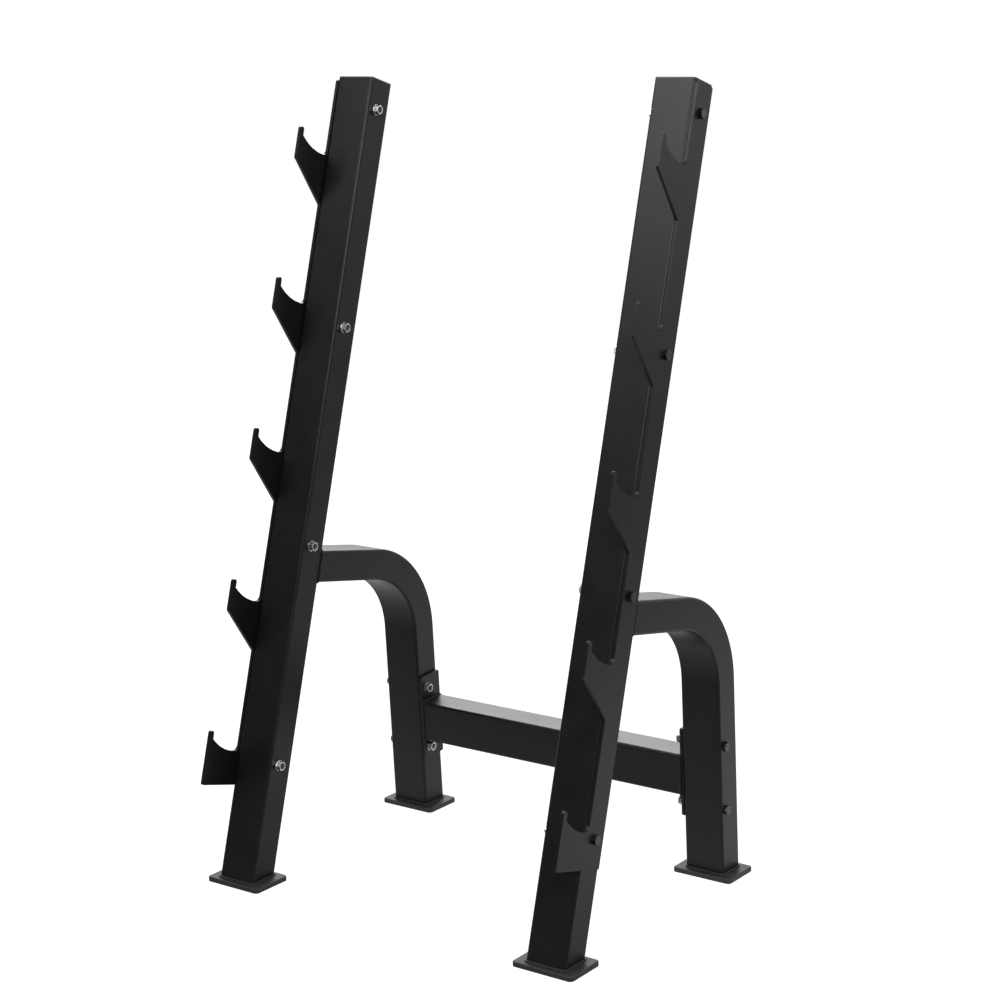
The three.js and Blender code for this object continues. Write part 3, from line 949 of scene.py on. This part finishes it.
def thread_rod(name, start, turns):
    """A threaded stretch along X: a tooth that is screwed round the axis, with both ends filled."""
    pen = Pen(name, (start, THREAD_CREST - THREAD_DEPTH, 0), (0, 0, 1))
    pen.line((start + THREAD_PITCH * CREST_START, THREAD_CREST, 0))
    pen.line((start + THREAD_PITCH * CREST_END, THREAD_CREST, 0))
    pen.line((start + THREAD_PITCH, THREAD_CREST - THREAD_DEPTH, 0))
    done()
    apply_modifier(pen.piece, "SCREW", axis="X", angle=math.tau, screw_offset=THREAD_PITCH,
                   iterations=turns, steps=THREAD_STEPS, render_steps=THREAD_STEPS,
                   use_merge_vertices=True, merge_threshold=SAME_PLACE)
    edit(pen.piece)
    bpy.ops.mesh.remove_doubles(threshold=SAME_PLACE)
    bpy.ops.mesh.select_all(action="DESELECT")
    bpy.ops.mesh.select_non_manifold()
    bpy.ops.mesh.fill_holes(sides=0)
    done()
    recalculate(pen.piece)
    return pen.piece


def make_bolt():
    piece = hexagon("bolt_master", 0, HEAD_HEIGHT, False, True)
    thread_length = THREAD_PITCH * THREAD_TURNS
    shank_end = -BOLT_LENGTH + thread_length
    combine(piece, rod("shank", BOLT_RADIUS, shank_end - THREAD_PITCH, HEAD_HEIGHT / 2), "UNION")
    thread = thread_rod("thread", -BOLT_LENGTH, THREAD_TURNS)
    end_cone = rod("end_turning", BOLT_RADIUS - THREAD_DEPTH, -BOLT_LENGTH, shank_end,
                   end_radius=BOLT_RADIUS + thread_length)
    combine(thread, end_cone, "INTERSECT")
    combine(piece, thread, "UNION")
    recalculate(piece)
    return piece


def make_nut():
    piece = hexagon("nut_master", -NUT_HEIGHT, 0, True, False)
    combine(piece, rod("bore", BOLT_RADIUS + SEAT, -2 * NUT_HEIGHT, NUT_HEIGHT), "DIFFERENCE")
    chamfer = BOLT_RADIUS + SEAT + THREAD_DEPTH
    cone = rod("mouth", chamfer + THREAD_DEPTH, -NUT_HEIGHT - THREAD_DEPTH, -NUT_HEIGHT + THREAD_DEPTH,
               end_radius=BOLT_RADIUS + SEAT - THREAD_DEPTH / 2)
    combine(piece, cone, "DIFFERENCE")
    return piece


def make_washer():
    piece = rod("washer_master", WASHER_RADIUS, -WASHER_THICKNESS, 0, FINE_ROUND_SIDES)
    bore = rod("bore", BOLT_RADIUS + SEAT, -2 * WASHER_THICKNESS, WASHER_THICKNESS, FINE_ROUND_SIDES)
    combine(piece, bore, "DIFFERENCE")
    soften(piece, WASHER_EDGE, WASHER_EDGE_SEGMENTS)
    return piece


MASTERS = {"bolt": make_bolt(), "nut": make_nut(), "washer": make_washer()}
for master in MASTERS.values():
    print(master.name, len(master.data.vertices), "vertices")

# %% [markdown]
# A set is put in like this: the bolt's head bears on the outer face of what is clamped, and the washer
# and nut sit on the inner face. Heads stop at different angles when they are tightened, so each head of a
# side has its own turn, and its nut and washer are turned by more than the head.

# %% Put the fasteners in
HEAD_TURNS = (4, 31, 17, 52, 43, 9)
NUT_TURN_FACTOR = 1.7


def put_fastener(label, side, head_x, nut_x, y, z, foot_y, tilt, turn):
    """Puts a bolt, washer and nut through a tube that leans back by the tilt about its foot."""
    frame_turn = Matrix.Translation((SIDES[side] * FRAME_X, foot_y, 0)) @ Matrix.Rotation(-tilt, 4, "X")
    outwards = Matrix.Scale(SIDES[side], 4, (1, 0, 0))
    places = {
        "bolt": (head_x + SEAT, "black_bolt_steel"),
        "washer": (nut_x - SEAT, "zinc_plated_steel"),
        "nut": (nut_x - WASHER_THICKNESS - 2 * SEAT, "zinc_plated_steel"),
    }
    for kind, (x, finish) in places.items():
        piece = copy_of(MASTERS[kind], f"{label}_{kind}_turned")
        degrees = turn if kind == "bolt" else NUT_TURN_FACTOR * turn
        spin = Matrix.Rotation(math.radians(degrees), 4, "X")
        piece.data.transform(frame_turn @ Matrix.Translation((0, y, z)) @ outwards @
                             Matrix.Translation((x, 0, 0)) @ spin)
        if side == "left":
            recalculate(piece)
        smooth(piece)
        hand_over(piece, f"{label}_{kind}", finish)


for side in SIDES:
    for i, height in enumerate(HOOK_BOLT_HEIGHTS):
        put_fastener(f"hook_{side}_{i + 1}", side, TUBE_WIDTH / 2 + SEAT + PLATE_THICKNESS, -TUBE_WIDTH / 2,
                     HOOK_BOLT_Y, height, UPRIGHT_Y, LEAN, HEAD_TURNS[i])
    for i, height in enumerate(BRACKET_BOLT_HEIGHTS):
        put_fastener(f"bracket_{side}_{i + 1}", side, TUBE_WIDTH / 2, -BRACKET_OUTER_X,
                     BRACKET_BOLT_Y, height, LEG_Y, -SPLAY, HEAD_TURNS[HOOK_BOLT_COUNT + i])
for master in MASTERS.values():
    bpy.data.objects.remove(master, do_unlink=True)

# %% [markdown]
# ## Weld beads
#
# The legs are welded to the uprights and the crossmember to its brackets. A bead is a row of overlapping
# puddles, so a closed curve round the joint is given a round section whose radius swells and shrinks from
# point to point. It is coated with the rest of the frame, and half of it is sunk in the joint.

# %% Make the weld beads
BEAD_RADIUS = 2.6 * MM
BEAD_STEP = 2.2 * MM
BEAD_RIPPLE = 0.16
BEAD_RESOLUTION = 3
BEAD_SMOOTH_DEGREES = 70
STRAIGHT_STRETCH = 10 * MM


def make_bead(name, width, depth, matrix):
    """A bead round a joint of this width and depth, put in its place by the matrix."""
    piece = section_outline(name, width, depth)
    done()
    average_side = (width + depth) / 2
    cuts = max(1, round(average_side / BEAD_STEP) - 1)
    pick(piece, "EDGE", lambda p: (p[0] - p[1]).length > STRAIGHT_STRETCH)
    bpy.ops.mesh.subdivide(number_cuts=cuts)
    done()
    piece.data.transform(matrix)
    only(piece)
    bpy.ops.object.convert(target="CURVE")
    piece = bpy.context.object
    for spline in piece.data.splines:
        for i, point in enumerate(spline.points):
            point.radius = 1 + BEAD_RIPPLE * (-1) ** i
    piece.data.bevel_depth = BEAD_RADIUS
    piece.data.bevel_resolution = BEAD_RESOLUTION
    bpy.ops.object.convert(target="MESH")
    piece = bpy.context.object
    recalculate(piece)
    smooth(piece, BEAD_SMOOTH_DEGREES)
    hand_over(piece, None, "black_powder_coat")


for side, sign in SIDES.items():
    on_upright = (Matrix.Translation((sign * FRAME_X, 0, 0)) @ Matrix.Translation(run_start) @
                  Matrix.Rotation(-(RIGHT_ANGLE + LEAN), 4, "X"))
    make_bead(f"weld_leg_{side}", TUBE_WIDTH, TUBE_DEPTH / math.cos(LEAN - RUN_FALL), on_upright)
    on_bracket = (Matrix.Translation((sign * CROSS_END, LEG_Y, 0)) @ Matrix.Rotation(SPLAY, 4, "X") @
                  Matrix.Translation((0, 0, CROSS_HEIGHT)) @ Matrix.Rotation(RIGHT_ANGLE, 4, "Y"))
    make_bead(f"weld_crossmember_{side}", TUBE_WIDTH, TUBE_DEPTH, on_bracket)

# %% [markdown]
# ## Studio
#
# The photograph is a plain product shot on white. A large sheet of white paper stands in for the studio:
# a floor that looks white to the camera but still takes the rack's soft shadow. The coat would look pale
# if it mirrored white on every side. So what a gloss finds is white behind the rack, and fades to a dark
# room in front of it and far to its right.

# %% Floor and background
DARK_ROOM = 0.1
FLOOR_SIZE = 30
WHITE_NEAR_RACK = 0.9
NEAR_RACK = 1.2
FAR_FROM_RACK = 4.5
PAPER_DARK_Y = -0.8
PAPER_WHITE_Y = 0.6
PAPER_DARK_X = 2.0
PAPER_WHITE_X = 0.6
BACKDROP_DARK_Y = -0.3
BACKDROP_WHITE_Y = 0.5
AMBIENT_LIGHT = 0.08


def background_rays(tree):
    """One for the rays that find the white background: from the camera, off a gloss or through glass."""
    path = add_node(tree, "ShaderNodeLightPath")
    found = path.outputs["Is Camera Ray"]
    for kind in ("Is Glossy Ray", "Is Transmission Ray"):
        found = add_node(tree, "ShaderNodeMath", {"operation": "MAXIMUM"},
                         links={0: found, 1: path.outputs[kind]}).outputs[0]
    return found


def fade(tree, value, dark, white):
    """How much white a gloss finds as a coordinate runs from where it is dark to where it is white."""
    return add_node(tree, "ShaderNodeMapRange", {"interpolation_type": "SMOOTHSTEP"},
                    {"From Min": dark, "From Max": white, "To Min": DARK_ROOM, "To Max": 1.0},
                    {"Value": value}).outputs["Result"]


def whole_for_camera(tree, share):
    """The share for a gloss, but all of the white for the camera itself."""
    camera_ray = add_node(tree, "ShaderNodeLightPath").outputs["Is Camera Ray"]
    whole = add_node(tree, "ShaderNodeMath", {"operation": "MAXIMUM"}, links={0: share, 1: camera_ray})
    return whole.outputs[0]


def times(tree, first, second):
    """The product of two outputs."""
    product = add_node(tree, "ShaderNodeMath", {"operation": "MULTIPLY"}, links={0: first, 1: second})
    return product.outputs[0]


def white_paper():
    """Paper that glows for background rays, less so for a gloss, and is plain grey for other light."""
    material = bpy.data.materials.new("white_paper")
    material.use_nodes = True
    tree = material.node_tree
    tree.nodes.clear()
    output = add_node(tree, "ShaderNodeOutputMaterial")
    diffuse = add_node(tree, "ShaderNodeBsdfDiffuse", inputs={"Color": linear("#9a9a9a")})
    lit = add_node(tree, "ShaderNodeBsdfDiffuse", inputs={"Color": linear("#8c8c8c")})
    on_floor = add_node(tree, "ShaderNodeTexCoord").outputs["Object"]
    distance = add_node(tree, "ShaderNodeVectorMath", {"operation": "LENGTH"}, links={0: on_floor})
    whiteness = add_node(tree, "ShaderNodeMapRange", {"interpolation_type": "SMOOTHSTEP"},
                         {"From Min": NEAR_RACK, "From Max": FAR_FROM_RACK,
                          "To Min": WHITE_NEAR_RACK, "To Max": 1.0},
                         {"Value": distance.outputs["Value"]})
    sides = add_node(tree, "ShaderNodeSeparateXYZ", links={0: on_floor})
    paper = times(tree, fade(tree, sides.outputs["Y"], PAPER_DARK_Y, PAPER_WHITE_Y),
                  fade(tree, sides.outputs["X"], PAPER_DARK_X, PAPER_WHITE_X))
    strength = times(tree, whiteness.outputs["Result"], whole_for_camera(tree, paper))
    glow = add_node(tree, "ShaderNodeEmission", links={"Strength": strength})
    both = add_node(tree, "ShaderNodeAddShader", links={0: lit.outputs[0], 1: glow.outputs[0]})
    mix = add_node(tree, "ShaderNodeMixShader",
                   links={0: background_rays(tree), 1: diffuse.outputs[0], 2: both.outputs[0]})
    tree.links.new(mix.outputs[0], output.inputs["Surface"])
    return material


bpy.ops.object.select_all(action="DESELECT")
bpy.ops.mesh.primitive_plane_add(size=FLOOR_SIZE, location=(0, 0, 0))
floor = bpy.context.object
floor.name = "floor"
floor.data.materials.append(white_paper())

world = bpy.data.worlds.new("studio")
bpy.context.scene.world = world
world.use_nodes = True
tree = world.node_tree
tree.nodes.clear()
ambient = add_node(tree, "ShaderNodeBackground",
                   inputs={"Color": linear("#f2f4f7"), "Strength": AMBIENT_LIGHT})
view_direction = add_node(tree, "ShaderNodeTexCoord").outputs["Generated"]
direction = add_node(tree, "ShaderNodeSeparateXYZ", links={0: view_direction})
backdrop = whole_for_camera(tree, fade(tree, direction.outputs["Y"], BACKDROP_DARK_Y, BACKDROP_WHITE_Y))
white = add_node(tree, "ShaderNodeBackground", inputs={"Color": (1, 1, 1, 1)}, links={"Strength": backdrop})
mix = add_node(tree, "ShaderNodeMixShader",
               links={0: background_rays(tree), 1: ambient.outputs[0], 2: white.outputs[0]})
add_node(tree, "ShaderNodeOutputWorld", links={"Surface": mix.outputs[0]})
print("studio ready")

# %% [markdown]
# ### Lamps
#
# Five softboxes light the rack: a wide one overhead, one in front on the left, a weak one behind on the
# right, a strong one behind on the left and a long narrow one by the camera. They are large, because a
# satin coat shows a lamp as a sheen, and a large lamp makes it soft.

# %% Set the lamps
RACK_MIDDLE = (0, 0, 0.7)


def softbox(name, place_at, aim_at, width, height, power):
    """A rectangular lamp, in metres and watts, that points from its place at its aim."""
    lamp = bpy.data.lights.new(name, "AREA")
    lamp.shape = "RECTANGLE"
    lamp.size = width
    lamp.size_y = height
    lamp.energy = power
    holder = bpy.data.objects.new(name, lamp)
    holder.location = place_at
    holder.rotation_euler = (Vector(aim_at) - Vector(place_at)).to_track_quat("-Z", "Y").to_euler()
    bpy.context.scene.collection.objects.link(holder)
    print("softbox", name, power, "W")


softbox("overhead", (0.3, -0.4, 3.6), RACK_MIDDLE, width=3.2, height=3.2, power=35)
softbox("front_left", (-1.2, -2.5, 3.4), (0.2, 0, 1.1), width=1.6, height=1.6, power=90)
softbox("rear_right", (2.9, 3.9, 1.3), RACK_MIDDLE, width=2.4, height=2.4, power=8)
softbox("rear_left", (-2.6, 3.6, 3.0), (0, 0, 0.4), width=3.0, height=1.8, power=150)
softbox("by_the_camera", (2.2, -2.2, 2.5), (-0.3, 0.1, 1.2), width=3.0, height=0.6, power=100)

bpy.context.scene.view_settings.view_transform = "Standard"
